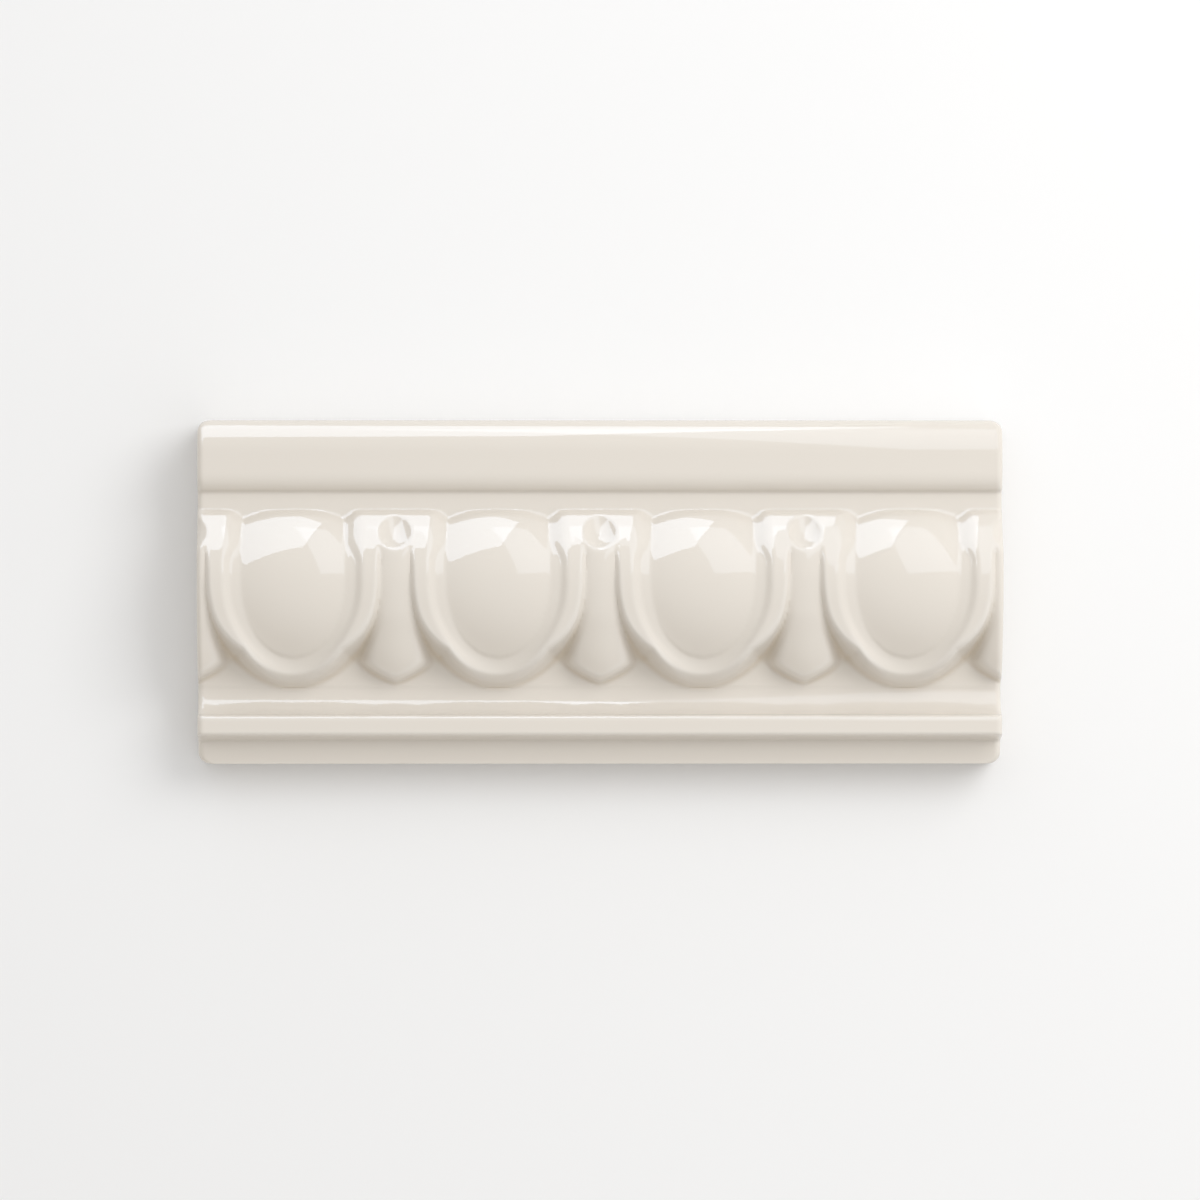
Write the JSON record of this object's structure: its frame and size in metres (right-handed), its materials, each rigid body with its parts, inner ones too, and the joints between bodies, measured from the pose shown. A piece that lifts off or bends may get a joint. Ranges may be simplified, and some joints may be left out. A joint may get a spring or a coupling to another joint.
{
  "type": "egg and dart relief moulding tile",
  "caption": "Glossy glazed ceramic moulding tile with a raised egg and dart frieze between a plain rounded band and a beaded lower edge.",
  "frame": {"origin": "middle of the flat back, which lies on the floor", "axes": "+X along the moulding, +Y towards its top edge, +Z out of its face"},
  "size_m": [0.152, 0.065, 0.0204],
  "materials": {
    "glaze": "glossy cream glaze, pooled a little darker in the creases"
  },
  "bodies": {
    "root": {"relief_tile": "glaze"}
  },
  "joints": []
}
